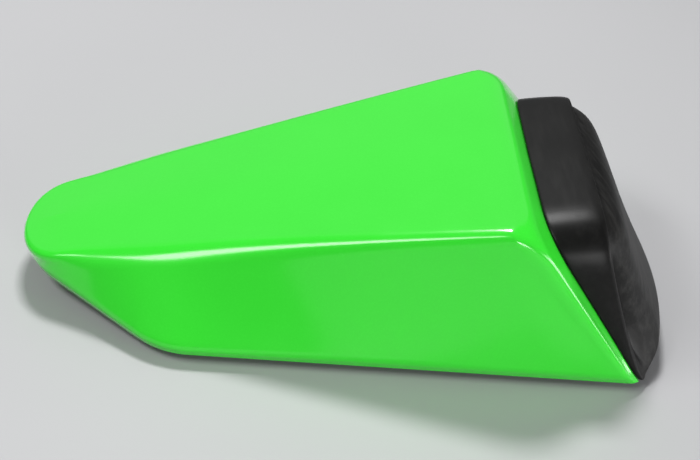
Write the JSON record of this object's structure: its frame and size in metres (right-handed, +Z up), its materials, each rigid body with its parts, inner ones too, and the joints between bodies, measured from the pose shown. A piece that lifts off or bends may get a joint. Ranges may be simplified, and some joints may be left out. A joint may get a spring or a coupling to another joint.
{
  "type": "seat cowl",
  "caption": "Painted seat cowl with a black bump pad across its front, hooks and a lock striker below.",
  "frame": {"origin": "on the ground under the middle of the cowl's length and width", "axes": "+X to the front of the motorcycle, +Y to its left, +Z up"},
  "size_m": [0.3635, 0.187, 0.0991],
  "materials": {
    "paint": "gloss",
    "pad_skin": "satin",
    "black_plastic": "matte",
    "bump_rubber": "matte",
    "bare_steel": "satin",
    "zinc_steel": "satin",
    "black_steel": "satin"
  },
  "bodies": {
    "root": {"cowl_shell": "paint", "bum_pad": "pad_skin", "pad_plate": "black_plastic", "pad_studs": "zinc_steel", "pad_washers": "zinc_steel", "pad_nuts": "zinc_steel", "base_tray": "black_plastic", "tray_screws": "black_steel", "hook_left": "bare_steel", "hook_right": "bare_steel", "hook_screws": "zinc_steel", "hook_nuts": "zinc_steel", "lock_striker": "bare_steel", "striker_screws": "zinc_steel", "striker_nuts": "zinc_steel", "bump_front_left": "bump_rubber", "bump_front_right": "bump_rubber", "bump_rear_left": "bump_rubber", "bump_rear_right": "bump_rubber"}
  },
  "joints": []
}
